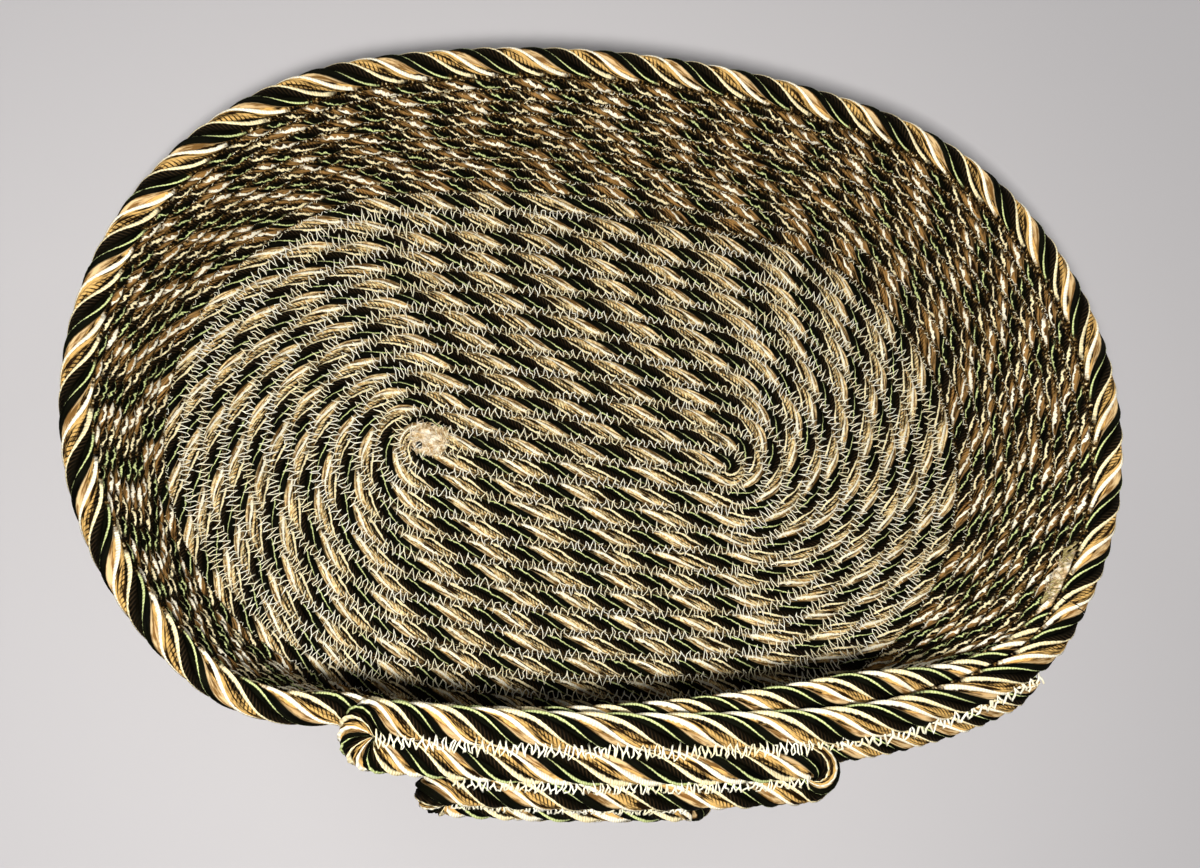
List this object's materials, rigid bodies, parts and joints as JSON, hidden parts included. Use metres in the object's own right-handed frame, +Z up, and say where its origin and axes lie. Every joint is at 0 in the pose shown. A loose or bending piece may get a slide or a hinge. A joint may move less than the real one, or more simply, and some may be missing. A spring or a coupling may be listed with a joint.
{
  "type": "coiled rope bowl",
  "caption": "Oval bowl coiled from twisted decorative cord and sewn row to row with zigzag thread, with steep walls and a rolled lip at the front; holds small things on a table.",
  "frame": {"origin": "middle of the underside, on the flat of the first straight run of rope, half way between the two turning centres of the oval", "axes": "+X runs along the oval to the end where the rows change, +Y to the back, -Y to the lip, +Z up out of the mouth"},
  "size_m": [0.2834, 0.208, 0.0846],
  "materials": {
    "cord": "satin twisted yarn",
    "thread": "satin thread",
    "seal": "frayed fibre set with glue"
  },
  "bodies": {
    "root": {"floor_coil": "cord", "wall_coil": "cord", "rim_rope": "cord", "lip_rope": "cord", "start_seal": "seal", "splice_binding": "seal", "tail_seal": "seal", "needle_thread_floor": "thread", "needle_thread_wall": "thread", "bobbin_thread_floor": "thread", "bobbin_thread_wall": "thread", "lip_thread_1": "thread", "lip_thread_2": "thread", "lip_thread_3": "thread", "lip_thread_4": "thread", "lip_thread_5": "thread"}
  },
  "joints": []
}
